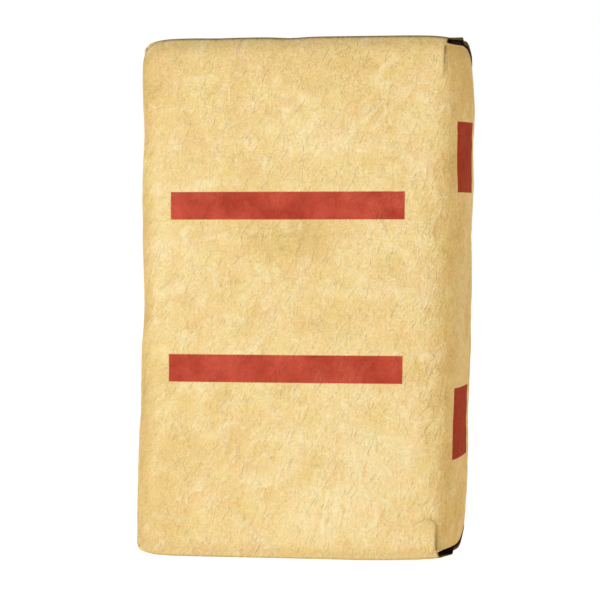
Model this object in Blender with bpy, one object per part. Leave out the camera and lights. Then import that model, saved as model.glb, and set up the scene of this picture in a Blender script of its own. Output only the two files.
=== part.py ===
"""Cement bag: a 50 kg block-bottom valve sack of kraft paper, filled and standing on its folded end.

Axes: +X to the right across the front, -Y towards the front, +Z up. The origin is on the floor, under the
middle of the bag. The sack is a paper tube, so every ring round it has the same length, the girth of the
flat tube. A ring turns through its four corners: over a few millimetres of paper at the folded ends, and
over a long stretch at mid height, where the fill has rounded the corners out.
"""

import bpy
import bmesh
import numpy as np

# Overall size, in metres
HEIGHT = 0.638
TUBE_FLAT_WIDTH = 0.512
END_DEPTH = 0.128
END_WIDTH = TUBE_FLAT_WIDTH - END_DEPTH
GIRTH = 2 * TUBE_FLAT_WIDTH

# How the filled wall rounds out between its ends: value at an end, value at mid height, and the height
# over which it grows from one to the other
CORNER_PAPER = (0.006, 0.140, 0.035)
CORNER_SHIFT = (0.000, 0.006, 0.300)
FACE_CROWN = (0.030, 0.100, 0.300)
SIDE_CROWN = (0.020, 0.360, 0.080)

# The bag has slumped a little to its left near the floor
LEAN = 0.013
LEAN_HEIGHT = 0.290

# How far each end crease lies back at its corners, in the order front right, back right, back left, front
# left, and the length of crease over which that dies away
TOP_CORNER_DROPS = (0.0030, 0.0070, 0.0050, 0.0045)
BOTTOM_CORNER_DROPS = (0.0010, 0.0150, 0.0050, 0.0045)
CORNER_DROP_LENGTH = 0.015

# The bottom end curves up towards its right edge, from this far right of the middle
RIGHT_LIFT = 0.0042
RIGHT_LIFT_START = 0.095

# Corner pockets between the tucked side panel and the flaps folded over it. A pocket is a slit on the side
# of the bag. It runs level under the flaps and curls away from the end at the back corner.
FLAP_THICKNESS = 0.0018
POCKET_DEPTH = 0.058
POCKET_FRONT_Y = -0.055
POCKET_BACK_Y = 0.056
POCKET_STATIONS = 9
POCKET_HEIGHT_FRONT = 0.0038
POCKET_HEIGHT_BACK = 0.0020
POCKET_HEIGHT_INNER = 0.0010
POCKET_INNER_SCALE = 0.04
TOP_CURL = (0.029, 0.0115)
BOTTOM_CURL = (0.020, 0.0160)
HIDDEN_CURL = (0.010, 0.0100)
CUTTER_OVERRUN = 0.030

# Valve sleeve, lying flat in the top right pocket
SLEEVE_LENGTH = 0.096
SLEEVE_WIDTH = 0.080
SLEEVE_THICKNESS = 0.0014
SLEEVE_INSET = 0.005
FIT_GAP = 0.0003

# Mesh density: fine samples along the girth, rings up the wall, rings across a cap
SAMPLE = 0.0005
WALL_RINGS = 28
CAP_RING_SCALES = (0.97, 0.92, 0.87, 0.60, 0.30)
FLAT_CAP_SCALE = 0.87
CORNER_COLUMNS = (0.003, 0.008, 0.016, 0.028, 0.044)
FACE_COLUMNS = 5
SIDE_COLUMNS = 1


def clear_scene():
    for obj in list(bpy.data.objects):
        bpy.data.objects.remove(obj, do_unlink=True)


def paper(name, colour, roughness):
    """A matt kraft paper material."""
    material = bpy.data.materials.new(name)
    material.use_nodes = True
    shader = material.node_tree.nodes["Principled BSDF"]
    shader.inputs["Base Color"].default_value = (*colour, 1.0)
    shader.inputs["Roughness"].default_value = roughness
    shader.inputs["Metallic"].default_value = 0.0
    material.diffuse_color = (*colour, 1.0)
    return material


def add_object(name, mesh, material):
    mesh.materials.append(material)
    obj = bpy.data.objects.new(name, mesh)
    bpy.context.scene.collection.objects.link(obj)
    return obj


def grown(values, from_end):
    """The value of a wall quantity at a distance from the nearest end."""
    at_end, at_middle, length = values
    return at_end + (at_middle - at_end) * (1 - np.exp(-from_end / length))


def corner_positions(shift):
    """Where the four corners lie along the girth, from the middle of the front round by the right."""
    half = END_WIDTH / 2
    return (half - shift, half + END_DEPTH + shift, GIRTH - half - END_DEPTH - shift, GIRTH - half + shift)


def along_girth(s, place):
    """The signed length of paper from a place on the girth, the short way round."""
    return (s - place + GIRTH / 2) % GIRTH - GIRTH / 2


def wall_sections(z):
    """X and Y of the wall at heights z (one row each) for every SAMPLE of paper round the girth.

    The bend of the paper is a raised cosine over each corner plus a slight even bend over the faces. Its
    running sum is the direction of the paper, and the running sum of the direction is its place.
    """
    s = np.arange(0, GIRTH, SAMPLE)[None, :]
    from_end = np.minimum(z, HEIGHT - z)
    corner = grown(CORNER_PAPER, from_end)
    shift = grown(CORNER_SHIFT, from_end)
    face = grown(FACE_CROWN, from_end)
    side = grown(SIDE_CROWN, from_end)
    places = corner_positions(shift)
    bend = np.zeros((z.shape[0], s.shape[1]))
    for place in places:
        u = along_girth(s, place) / corner
        bend += (np.pi / 2 - face - side) * np.where(np.abs(u) < 0.5, 1 + np.cos(2 * np.pi * u), 0) / corner
    on_face = (s < places[0]) | ((s > places[1]) & (s < places[2])) | (s > places[3])
    bend += np.where(on_face, face / (END_WIDTH / 2 - shift), side / (END_DEPTH / 2 + shift))
    direction = np.cumsum(bend, axis=1)
    direction *= 2 * np.pi / direction[:, -1:]
    x = np.cumsum(np.cos(direction), axis=1) * SAMPLE
    y = np.cumsum(np.sin(direction), axis=1) * SAMPLE
    x -= x.mean(axis=1, keepdims=True)
    y -= y.mean(axis=1, keepdims=True)
    return x + LEAN * (1 - np.exp(-z / LEAN_HEIGHT)), y


def girth_columns():
    """The places along the girth that carry mesh columns: close at the corners, wide on the faces."""
    corners = corner_positions(0.0)
    columns = list(corners)
    for place in corners:
        for offset in CORNER_COLUMNS:
            columns += [place - offset, place + offset]
    for start, end, count in ((corners[3] - GIRTH, corners[0], FACE_COLUMNS),
                              (corners[0], corners[1], SIDE_COLUMNS),
                              (corners[1], corners[2], FACE_COLUMNS),
                              (corners[2], corners[3], SIDE_COLUMNS)):
        inner_start = start + CORNER_COLUMNS[-1]
        inner_end = end - CORNER_COLUMNS[-1]
        columns += list(np.linspace(inner_start, inner_end, count + 2)[1:-1])
    return np.array(sorted(c % GIRTH for c in columns))


def crease_drop(s, corner_drops):
    """How far an end crease lies back from the end: it dies away exponentially from each corner."""
    drop = np.zeros_like(s)
    for place, depth in zip(corner_positions(0.0), corner_drops):
        drop += depth * np.exp(-np.abs(along_girth(s, place)) / CORNER_DROP_LENGTH)
    return drop


def right_lift(x):
    """How far the bottom end curves up from the floor: the square of the distance past its start."""
    past = np.clip((x - RIGHT_LIFT_START) / (END_WIDTH / 2 - RIGHT_LIFT_START), 0, 1)
    return RIGHT_LIFT * past ** 2


def cap_rings(crease, drop, level, inward, lift):
    """The rings across an end from its crease inwards, and its middle point.

    The middle of the end is flat. The drop of the crease dies away between the crease and that flat.
    """
    middle = np.array([(crease[:, 0].max() + crease[:, 0].min()) / 2, 0.0, level])
    rings = []
    for scale in CAP_RING_SCALES:
        ring = middle + (crease - middle) * scale
        fall = max(0.0, (scale - FLAT_CAP_SCALE) / (1 - FLAT_CAP_SCALE)) ** 1.5
        ring[:, 2] = level + inward * drop * fall + lift(ring[:, 0])
        rings.append(ring)
    return middle, rings


def sack_rings():
    """The rings of the closed sack from the middle of its bottom to the middle of its top."""
    s = girth_columns()
    bottom_drop = crease_drop(s, BOTTOM_CORNER_DROPS)
    top_drop = crease_drop(s, TOP_CORNER_DROPS)
    rise = 0.5 - 0.5 * np.cos(np.linspace(0, np.pi, WALL_RINGS + 1))[:, None]
    x, y = wall_sections(rise * HEIGHT)
    pick = np.round(s / SAMPLE).astype(int) % x.shape[1]
    x = x[:, pick]
    y = y[:, pick]
    x -= (x.max() + x.min()) / 2
    y -= (y.max() + y.min()) / 2
    low = bottom_drop + right_lift(x[0])
    high = HEIGHT - top_drop
    wall = np.stack([x, y, low + rise * (high - low)], axis=-1)
    bottom_middle, bottom_rings = cap_rings(wall[0], bottom_drop, 0.0, 1, right_lift)
    top_middle, top_rings = cap_rings(wall[-1], top_drop, HEIGHT, -1, np.zeros_like)
    rings = np.concatenate([np.array(bottom_rings[::-1]), wall, np.array(top_rings)])
    return bottom_middle, rings, top_middle


def closed_mesh(name, bottom_centre, rings, top_centre):
    """A closed mesh of stacked rings, fanned to a point at each end, with its faces pointing out."""
    count, around = rings.shape[:2]
    vertices = np.concatenate([rings.reshape(-1, 3), [bottom_centre, top_centre]])
    index = np.arange(count * around).reshape(count, around)
    following = np.roll(index, -1, axis=1)
    quads = np.stack([index[:-1], following[:-1], following[1:], index[1:]], axis=-1).reshape(-1, 4)
    bottom_fan = [(len(vertices) - 2, b, a) for a, b in zip(index[0], following[0])]
    top_fan = [(len(vertices) - 1, a, b) for a, b in zip(index[-1], following[-1])]
    mesh = bpy.data.meshes.new(name)
    mesh.from_pydata(vertices.tolist(), [], quads.tolist() + bottom_fan + top_fan)
    mesh.update()
    return mesh


def flat_box(name, low, high):
    """A box between its lowest and its highest corner."""
    mesh = bpy.data.meshes.new(name)
    build = bmesh.new()
    bmesh.ops.create_cube(build, size=1.0)
    for vertex in build.verts:
        for axis in range(3):
            vertex.co[axis] = high[axis] if vertex.co[axis] > 0 else low[axis]
    build.to_mesh(mesh)
    build.free()
    return mesh


def pocket_wedge(name, mouth_x, inward, end_z, away, curl):
    """The space of a corner pocket: a curved slit at its mouth that narrows to a point inside the bag.

    The slit's outer edge lies a flap's thickness from the end, plus a curl that grows exponentially towards
    the back corner. Its height falls evenly from the front to the back.
    """
    reach, length = curl
    y = np.linspace(POCKET_FRONT_Y, POCKET_BACK_Y, POCKET_STATIONS)
    outer = FLAP_THICKNESS + reach * np.exp(-(END_DEPTH / 2 - y) / length)
    inner = outer + np.linspace(POCKET_HEIGHT_FRONT, POCKET_HEIGHT_BACK, POCKET_STATIONS)
    flat = np.full_like(y, FLAP_THICKNESS)
    sections = ((mouth_x - inward * CUTTER_OVERRUN, y, outer, inner),
                (mouth_x, y, outer, inner),
                (mouth_x + inward * POCKET_DEPTH, y * POCKET_INNER_SCALE, flat, flat + POCKET_HEIGHT_INNER))
    loops = []
    for x, ys, near, far in sections:
        depth = np.concatenate([near, far[::-1]])
        across = np.concatenate([ys, ys[::-1]])
        loops.append(np.stack([np.full_like(across, x), across, end_z + away * depth], axis=1))
    around = 2 * POCKET_STATIONS
    index = np.arange(len(loops) * around).reshape(len(loops), around)
    following = np.roll(index, -1, axis=1)
    quads = np.stack([index[:-1], following[:-1], following[1:], index[1:]], axis=-1).reshape(-1, 4)
    strips = []
    for ring in (index[0], index[-1]):
        for a in range(POCKET_STATIONS - 1):
            strips.append((ring[a], ring[a + 1], ring[around - 2 - a], ring[around - 1 - a]))
    mesh = bpy.data.meshes.new(name)
    mesh.from_pydata(np.concatenate(loops).tolist(), [], quads.tolist() + strips)
    build = bmesh.new()
    build.from_mesh(mesh)
    bmesh.ops.recalc_face_normals(build, faces=build.faces[:])
    build.to_mesh(mesh)
    build.free()
    return mesh


def cut(obj, name, mesh):
    """Takes a cutter's shape out of an object. The cutter stays in the scene as a wire guide."""
    cutter = bpy.data.objects.new(name, mesh)
    bpy.context.scene.collection.objects.link(cutter)
    cutter.display_type = "WIRE"
    cutter.hide_render = True
    boolean = obj.modifiers.new(name, "BOOLEAN")
    boolean.operation = "DIFFERENCE"
    boolean.solver = "EXACT"
    boolean.object = cutter


def end_creases(rings):
    """The bottom and the top crease, which are the first and last rings of the wall."""
    cap_count = len(CAP_RING_SCALES)
    return rings[cap_count], rings[-1 - cap_count]


def end_edges(crease):
    """The left and right X of an end crease, at the middle of its short edges."""
    return crease[:, 0].min(), crease[:, 0].max()


def cut_pockets(sack, rings):
    """The four corner pockets. Each opens on a side of the bag, between the tuck and the flaps."""
    bottom, top = end_creases(rings)
    ends = (("bottom", bottom, (("left", 0.0, HIDDEN_CURL), ("right", RIGHT_LIFT, BOTTOM_CURL)), 1),
            ("top", top, (("left", HEIGHT, HIDDEN_CURL), ("right", HEIGHT, TOP_CURL)), -1))
    for end, crease, sides, away in ends:
        left, right = end_edges(crease)
        for side, end_z, curl in sides:
            mouth, inward = (left, 1) if side == "left" else (right, -1)
            name = f"{end}_{side}_pocket_cutter"
            cut(sack, name, pocket_wedge(name, mouth, inward, end_z, away, curl))


def sleeve_box(crease):
    """The lowest and highest corner of the valve sleeve, just under the flaps of the top right pocket."""
    mouth = end_edges(crease)[1]
    high = np.array([mouth - SLEEVE_INSET, SLEEVE_WIDTH / 2, HEIGHT - FLAP_THICKNESS - FIT_GAP])
    low = high - np.array([SLEEVE_LENGTH, SLEEVE_WIDTH, SLEEVE_THICKNESS])
    return low, high


def make_sack(bottom_middle, rings, top_middle, kraft):
    """The filled tube, with its corner pockets and the slot that the valve sleeve lies in."""
    sack = add_object("sack", closed_mesh("sack", bottom_middle, rings, top_middle), kraft)
    cut_pockets(sack, rings)
    low, high = sleeve_box(end_creases(rings)[1])
    slot_high = high + FIT_GAP
    slot_high[0] = high[0] + SLEEVE_INSET + CUTTER_OVERRUN
    cut(sack, "sleeve_slot_cutter", flat_box("sleeve_slot_cutter", low - FIT_GAP, slot_high))


def make_valve_sleeve(rings, kraft):
    """The flat paper sleeve that the bag was filled through, pressed shut by the fill."""
    low, high = sleeve_box(end_creases(rings)[1])
    add_object("valve_sleeve", flat_box("valve_sleeve", low, high), kraft)


clear_scene()
bottom_point, bag_rings, top_point = sack_rings()
make_sack(bottom_point, bag_rings, top_point, paper("kraft_paper", (0.79, 0.58, 0.28), 0.78))
make_valve_sleeve(bag_rings, paper("sleeve_paper", (0.55, 0.36, 0.22), 0.82))
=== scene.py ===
"""Looks of a filled block-bottom valve sack of kraft paper, standing on its folded end.

Axes and units are the frame's: metres, +Z up, +X to the right across the front, -Y towards the front.
"""

import bmesh
import bpy
import numpy as np
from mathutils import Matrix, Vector


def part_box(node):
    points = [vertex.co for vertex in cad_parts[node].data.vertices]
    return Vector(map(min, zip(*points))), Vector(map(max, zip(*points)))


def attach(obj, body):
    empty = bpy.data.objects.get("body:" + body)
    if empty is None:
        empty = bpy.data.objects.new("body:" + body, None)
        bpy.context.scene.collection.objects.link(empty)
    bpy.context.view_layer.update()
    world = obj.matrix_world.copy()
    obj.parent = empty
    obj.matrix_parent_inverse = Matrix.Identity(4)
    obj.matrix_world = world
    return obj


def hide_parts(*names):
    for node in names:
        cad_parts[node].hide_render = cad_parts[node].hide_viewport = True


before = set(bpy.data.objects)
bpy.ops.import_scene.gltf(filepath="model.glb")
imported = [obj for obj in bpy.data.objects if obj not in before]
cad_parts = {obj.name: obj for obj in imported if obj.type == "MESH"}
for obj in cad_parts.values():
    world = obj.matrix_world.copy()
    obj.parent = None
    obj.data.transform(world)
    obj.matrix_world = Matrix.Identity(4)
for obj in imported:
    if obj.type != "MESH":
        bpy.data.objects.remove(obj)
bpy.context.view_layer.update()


# Camera
# A long lens stands well back, a little above the middle of the bag and 15 degrees round to its right. The
# view is 600 pixels square, and the bag stands a little right of its middle.
FOCAL_PIXELS, IMAGE_PIXELS, SENSOR_MM = 3712, 600, 36
CAMERA_AZIMUTH = np.radians(15)
CAMERA_DISTANCE, CAMERA_HEIGHT = 4.6, 0.395
AIM_HEIGHT, AIM_TO_LEFT = 0.3155, 0.0046


def new_object(name, data):
    """A new object in the scene."""
    obj = bpy.data.objects.new(name, data)
    bpy.context.scene.collection.objects.link(obj)
    return obj


def stand(obj, place, aim):
    """Puts a camera or a lamp at a place and turns it to its aim."""
    obj.location = place
    obj.rotation_euler = (Vector(aim) - obj.location).to_track_quat("-Z", "Y").to_euler()


camera_data = bpy.data.cameras.new("camera")
camera_data.sensor_width = SENSOR_MM
camera_data.lens = FOCAL_PIXELS / IMAGE_PIXELS * SENSOR_MM
camera_data.clip_start = 0.1
camera_data.clip_end = 100
camera = new_object("camera", camera_data)
bpy.context.scene.camera = camera
sight_right = Vector((np.cos(CAMERA_AZIMUTH), np.sin(CAMERA_AZIMUTH), 0))
stand(camera, (CAMERA_DISTANCE * np.sin(CAMERA_AZIMUTH), -CAMERA_DISTANCE * np.cos(CAMERA_AZIMUTH), CAMERA_HEIGHT),
      Vector((0, 0, AIM_HEIGHT)) - AIM_TO_LEFT * sight_right)


# Filled sack
# The real piece is one tube of brown-yellow kraft paper, several plies thick, pasted along the back. Each end is
# folded square: the narrow sides are tucked in, and the back and the front flap are folded over them and pasted.
# It is filled through a corner, and the fill rounds out every edge except the folded ends.
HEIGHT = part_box("sack")[1].z
TUBE_FLAT_WIDTH = 0.512
END_DEPTH = 0.128
END_WIDTH = TUBE_FLAT_WIDTH - END_DEPTH
GIRTH = 2 * TUBE_FLAT_WIDTH
HALF_DEPTH = END_DEPTH / 2
MM = 0.001

# How the wall rounds out between its ends: value at an end, value at mid height, length of the change
CORNER_PAPER = (0.006, 0.140, 0.035)
CORNER_SHIFT = (0.000, 0.006, 0.300)
FACE_CROWN = (0.030, 0.100, 0.300)
SIDE_CROWN = (0.020, 0.280, 0.040)
# How much longer that takes at the corners front right, back right, back left and front left, whose right ones stay
# sharp, and at the bottom and top of the right and the left side
CORNER_STRETCH = (4, 7, 1, 1)
SIDE_STRETCH = ((2.0, 2.0), (1.0, 0.7))
# The sack leans to the right as it rises: how far, and over what height
LEAN, LEAN_HEIGHT = 0.013, 0.290
# The wall's table, and how far ahead and behind a place its direction is taken
GIRTH_SAMPLES, WALL_LEVELS = 2048, 160
DIRECTION_STEP = 0.0005


def smooth(t):
    """A step from 0 to 1 with level ends."""
    t = np.clip(t, 0, 1)
    return t * t * (3 - 2 * t)


def grown(values, level, at_bottom=1, at_top=1):
    """The value at an end plus its growth, which nears its mid-height value exponentially over a length that may be
    stretched at the bottom and the top."""
    at_end, at_middle, length = values
    upper = smooth(3 * level / HEIGHT - 1)
    length = length * (at_bottom * (1 - upper) + at_top * upper)
    return at_end + (at_middle - at_end) * (1 - np.exp(-np.minimum(level, HEIGHT - level) / length))


def corner_positions(shift):
    """Where the four corners lie along the girth, from the middle of the front round by the right."""
    half = END_WIDTH / 2
    return (half - shift, half + END_DEPTH + shift, GIRTH - half - END_DEPTH - shift, GIRTH - half + shift)


def along_girth(s, place):
    """The signed length of paper from a place on the girth, the short way round."""
    return (s - place + GIRTH / 2) % GIRTH - GIRTH / 2


def wall_table():
    """X and Y of the wall for even samples of girth (columns) at levels that close up towards the ends (rows).

    The paper's bend is a raised cosine over each corner plus an even bend over each face. Its running sum is the
    direction, and the running sum of that is the place. What is left open at the end is spread evenly.
    """
    level = (0.5 - 0.5 * np.cos(np.linspace(0, np.pi, WALL_LEVELS)))[:, None] * HEIGHT
    s = np.arange(GIRTH_SAMPLES)[None, :] * GIRTH / GIRTH_SAMPLES
    shift = grown(CORNER_SHIFT, level)
    face = grown(FACE_CROWN, level)
    right, left = (grown(SIDE_CROWN, level, *stretch) for stretch in SIDE_STRETCH)
    places = corner_positions(shift)
    bend = np.zeros((WALL_LEVELS, GIRTH_SAMPLES))
    for place, side, stretch in zip(places, (right, right, left, left), CORNER_STRETCH):
        corner = grown(CORNER_PAPER, level, stretch, stretch)
        u = along_girth(s, place) / corner
        bend += (np.pi / 2 - face - side) * np.where(np.abs(u) < 0.5, 1 + np.cos(2 * np.pi * u), 0) / corner
    on_face = (s < places[0]) | ((s > places[1]) & (s < places[2])) | (s > places[3])
    side = np.where(s < GIRTH / 2, right, left)
    bend += np.where(on_face, face / (END_WIDTH / 2 - shift), side / (END_DEPTH / 2 + shift))
    direction = np.cumsum(bend, axis=1)
    direction *= 2 * np.pi / direction[:, -1:]
    x = np.cumsum(np.cos(direction), axis=1) * GIRTH / GIRTH_SAMPLES
    y = np.cumsum(np.sin(direction), axis=1) * GIRTH / GIRTH_SAMPLES
    x -= x[:, -1:] * s / GIRTH
    y -= y[:, -1:] * s / GIRTH
    x += LEAN * (1 - np.exp(-level / LEAN_HEIGHT)) - x.mean(axis=1, keepdims=True)
    y -= y.mean(axis=1, keepdims=True)
    return x - (x.max() + x.min()) / 2, y - (y.max() + y.min()) / 2


WALL_X, WALL_Y = wall_table()


def wall_point(s, z):
    """X and Y of the wall at girth s and height z, read between the four nearest entries of the table."""
    column = (s % GIRTH) / GIRTH * GIRTH_SAMPLES
    row = np.arccos(np.clip(1 - 2 * z / HEIGHT, -1, 1)) / np.pi * (WALL_LEVELS - 1)
    left = np.floor(column).astype(int)
    low = np.minimum(np.floor(row).astype(int), WALL_LEVELS - 2)
    across = column - left
    up = row - low
    left = left % GIRTH_SAMPLES
    right = (left + 1) % GIRTH_SAMPLES
    return tuple((table[low, left] * (1 - across) + table[low, right] * across) * (1 - up)
                 + (table[low + 1, left] * (1 - across) + table[low + 1, right] * across) * up
                 for table in (WALL_X, WALL_Y))


def along_wall(s, z):
    """The unit direction of the wall along the girth, from the places just ahead and just behind."""
    ahead, behind = (np.array(wall_point(s + step, z)) for step in (DIRECTION_STEP, -DIRECTION_STEP))
    return (ahead - behind) / np.linalg.norm(ahead - behind, axis=0)


# Paper columns round the girth: close at the corners, with a line on each side of the free edge of each front flap,
# which lies over the back flap, and one beside the pasted seam up the middle of the back
PANEL_STEP = 0.0031
LINE_CLEARANCE = PANEL_STEP / 5
CORNER_STEP = 0.0011
CORNER_ZONE = 0.0077
LAP_Y = {"bottom": 0.002, "top": 0.012}
LAP_STEP = 0.0008
SEAM_STEP = 0.0007


def panel_places(length, extra):
    """Places along a panel from 0 to its length, close near both ends, wide between, with the extra ones."""
    edge = np.arange(0, CORNER_ZONE - CORNER_STEP / 2, CORNER_STEP)
    count = 2 * round((length - 2 * CORNER_ZONE) / PANEL_STEP / 2)
    middle = np.linspace(CORNER_ZONE, length - CORNER_ZONE, count + 1)
    clear = middle[np.abs(middle[:, None] - np.array(extra)).min(axis=1) > LINE_CLEARANCE]
    return np.sort(np.concatenate([edge, clear, extra, length - edge]))


face_places = panel_places(END_WIDTH, [END_WIDTH / 2 - SEAM_STEP, END_WIDTH / 2])
side_places = panel_places(END_DEPTH, [HALF_DEPTH + lap + step for lap in LAP_Y.values()
                                       for step in (-LAP_STEP / 2, LAP_STEP / 2)])
faces, sides = len(face_places), len(side_places)
seam = int(np.argmin(np.abs(face_places - END_WIDTH / 2)))
back_s = END_WIDTH / 2 + END_DEPTH + face_places
ring_s = np.concatenate([back_s[seam:-1] - GIRTH,
                         -END_WIDTH / 2 - side_places[::-1][:-1],
                         face_places[:-1] - END_WIDTH / 2,
                         END_WIDTH / 2 + side_places[:-1],
                         back_s[:seam + 1]])
left_start = faces - 1 - seam
front_start = left_start + sides - 1
right_start = front_start + faces - 1
back_start = right_start + sides - 1
front_columns = np.arange(front_start, front_start + faces)
right_columns = np.arange(right_start, right_start + sides)
left_columns = np.arange(left_start, left_start + sides)[::-1]
back_columns = np.concatenate([np.arange(back_start, len(ring_s)), np.arange(1, left_start + 1)])[::-1]

# How far each end crease lies back at its corners front right, back right, back left and front left, and over
# what length that dies away along the front or back, and along the side
CORNER_DROPS = {
    "top": ((0.0035, 0.015, 0.015), (0.023, 0.014, 0.014), (0.009, 0.012, 0.012), (0.014, 0.0102, 0.03)),
    "bottom": ((0.0012, 0.012, 0.012), (0.03, 0.014, 0.014), (0.008, 0.012, 0.012), (0.0155, 0.0095, 0.025))}
# Dips in the front top crease: place, depth and half width
TOP_DIPS = ((-0.008, 0.0015, 0.020), (-0.100, 0.0006, 0.020))
# How far the bottom end curves up from the floor at the right, and where that starts
RIGHT_LIFT, RIGHT_LIFT_START = 0.0040, 0.075
# The front and back creases: radius, height of their rows, and the inset from which their painted shade is full
CREASE_RADIUS = 0.0045
CREASE_ZONE = 0.0090
SHADED_INSET = CREASE_RADIUS / 3
# How dark each end is painted, as shade where the paper turns away from the light: its paper, its creases, and right
# beside them, and over what lengths the first and last die away
END_SHADING = {"top": (0.15, 0.24, 0.12), "bottom": (0.06, 0.12, 0.0)}
END_SHADING_LENGTH, BESIDE_SHADING_LENGTH = 0.007, 0.0028
# The crease's painted shade is mostly left off about the front left corner: half length of that stretch, and how much
# is left off
LIGHTER_STRETCH, LIGHTER_SHARE = 0.032, 0.9

# A pocket opens on each narrow side of an end, between the tuck and the flaps. Its outlines are points along the
# side, from the front corner at -64 to the back one at 64, and back from the end, in millimetres. The flaps' edge
# is a strip between an outer and an inner outline, and the tuck's crease is the far edge of the mouth.
# Each pocket also gives how far in it reaches, where its mouth starts, and how dark its flaps' strip is painted, as
# shade
POCKETS = {
    ("top", "right"): {
        "outer": ((-64, 4.2), (-36, 2.8), (-8, 1.3), (11.6, -0.7), (12.4, 5.2), (19, 4.3), (28, 3.2), (34, 3.4),
                  (42, 5.5), (50, 11.2), (55, 15.2), (60, 21), (64, 26)),
        "inner": ((-64, 5.8), (-52, 5.8), (-26, 4.6), (11.6, 3.4), (12.4, 8.6), (21, 9), (30, 10.2), (38, 13),
                  (44, 16.5), (49, 21.8), (55, 27.8), (60, 37), (64, 40)),
        "tuck": ((-66, 10.5), (-62, 11.5), (-40, 11.5), (3, 10.9), (14, 11.8), (28, 14.3), (36, 18), (41, 21),
                 (47, 25.5), (51, 31), (56, 37.5), (60, 41), (64, 43)),
        "reach": 0.100, "start": -0.0640, "dark": 0.62},
    ("bottom", "right"): {
        "outer": ((-64, 5), (-39, 4.5), (-12, 3.8), (1.6, 3.8), (2.4, 8.1), (23, 8.3), (35, 9.5), (42, 12.5),
                  (46, 18), (51, 23.8), (56, 30), (64, 36)),
        "inner": ((-64, 7.4), (-39, 6.6), (-12, 5.4), (1.6, 4.6), (2.4, 10.9), (14, 12), (25, 13.5), (33, 16),
                  (40, 20.2), (44, 25), (51, 31), (56, 36), (64, 42)),
        "tuck": ((-66, 12.5), (-63, 13.5), (-54, 14.5), (-21, 15.1), (5, 16), (16, 17), (24, 18.5), (32, 21),
                 (38, 24.2), (44, 28), (48, 31.5), (54, 38), (64, 44)),
        "reach": 0.058, "start": -0.0640, "dark": 0.57},
    ("top", "left"): {
        "outer": ((-64, 14), (-50, 9.5), (-30, 4.2), (-10, 1.5), (11.6, 0.6), (12.4, 2), (40, 1.6), (64, 9)),
        "inner": ((-64, 16), (-50, 11.7), (-30, 6.4), (-10, 3.9), (11.6, 3), (12.4, 4.4), (40, 4.6), (64, 12)),
        "tuck": ((-64, 18), (-50, 14.4), (-30, 9.2), (-10, 6.8), (12, 6), (40, 7), (64, 14.5)),
        "reach": 0.058, "start": -0.0420, "dark": 0.35},
    ("bottom", "left"): {
        "outer": ((-64, 15.5), (-50, 9), (-30, 4.5), (-10, 1.8), (1.6, 1), (2.4, 2.6), (40, 1.8), (64, 8)),
        "inner": ((-64, 17.7), (-50, 11.2), (-30, 6.9), (-10, 4.2), (1.6, 3.4), (2.4, 5), (40, 4.6), (64, 11)),
        "tuck": ((-64, 20.5), (-50, 14.2), (-30, 9.9), (-10, 7), (2, 6.6), (40, 7), (64, 13.5)),
        "reach": 0.058, "start": -0.0500, "dark": 0.35},
}
TUCK_RADIUS = 0.0009
STRIP_RADIUS = 0.0006
POCKET_END_GAP = 0.0016
POCKET_NARROWING = 0.012
MOUTH_RUN_OUT = 0.004
# Where the rows part way into a pocket lie, and the inner rows across a flap's strip
PART_WAY, STRIP_FLAT, STRIP_EDGE = 0.3, 0.25, 0.05
END_ROWS, STRAIGHT_ROWS = 12, 5
# How far each row of a mouth starts before the mouth's own start, from the tuck's crease to the flaps
MOUTH_START_SLANT = np.linspace(0.0055, 0.0005, END_ROWS)[:, None]
MOUTH_START_RUN = 0.0030


def along_side(side):
    """How far back each ring column lies along a narrow side, from its middle."""
    return (ring_s if side == "right" else -ring_s) - END_WIDTH / 2 - HALF_DEPTH


def mouth_share(end, side):
    """1 in a pocket's mouth and 0 on the other panels, with a short smooth change at its ends."""
    q = along_side(side)
    return (smooth((q - POCKETS[end, side]["start"] + MOUTH_START_SLANT) / MOUTH_START_RUN)
            * smooth((HALF_DEPTH + MOUTH_RUN_OUT - q) / MOUTH_RUN_OUT))


def outline(points, q):
    """An outline in metres read from its points in millimetres, joined by straight lines."""
    at, depth = np.array(points).T * MM
    return np.interp(q, at, depth)


def from_end(end, depth):
    """The height at a depth from an end, and also the depth at a height."""
    return HEIGHT - depth if end == "top" else depth


def right_lift(x):
    """How far the bottom end curves up from the floor: the square of the distance past its start."""
    past = np.clip((x - RIGHT_LIFT_START) / (END_WIDTH / 2 - RIGHT_LIFT_START), 0, 1)
    return RIGHT_LIFT * past ** 2


def crease_depth(end):
    """How far the front and back crease lies from the end, which dies away exponentially from each corner."""
    depth = 0 * ring_s
    for number, (place, drop) in enumerate(zip(corner_positions(0.0), CORNER_DROPS[end])):
        past = along_girth(ring_s, place) * (-1) ** number
        depth = depth + drop[0] * np.exp(-np.abs(past) / np.where(past > 0, drop[2], drop[1]))
    if end == "bottom":
        return depth + right_lift(wall_point(ring_s, 0)[0])
    return depth + sum(dip * np.exp(-(along_girth(ring_s, place) / half_width) ** 2)
                       for place, dip, half_width in TOP_DIPS)


def crease_path(end):
    """Depth and inset of the end rows on the front and back: straight up the wall, then a quarter circle."""
    depth = crease_depth(end)
    up = np.linspace(CREASE_ZONE, CREASE_RADIUS, STRAIGHT_ROWS)
    turn = np.linspace(0, np.pi / 2, END_ROWS - STRAIGHT_ROWS + 1)[1:]
    below = np.concatenate([up, CREASE_RADIUS * (1 - np.sin(turn))])
    inset = np.concatenate([0 * up, CREASE_RADIUS * (1 - np.cos(turn))])
    return depth + below[:, None], inset[:, None] + 0 * depth


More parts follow.
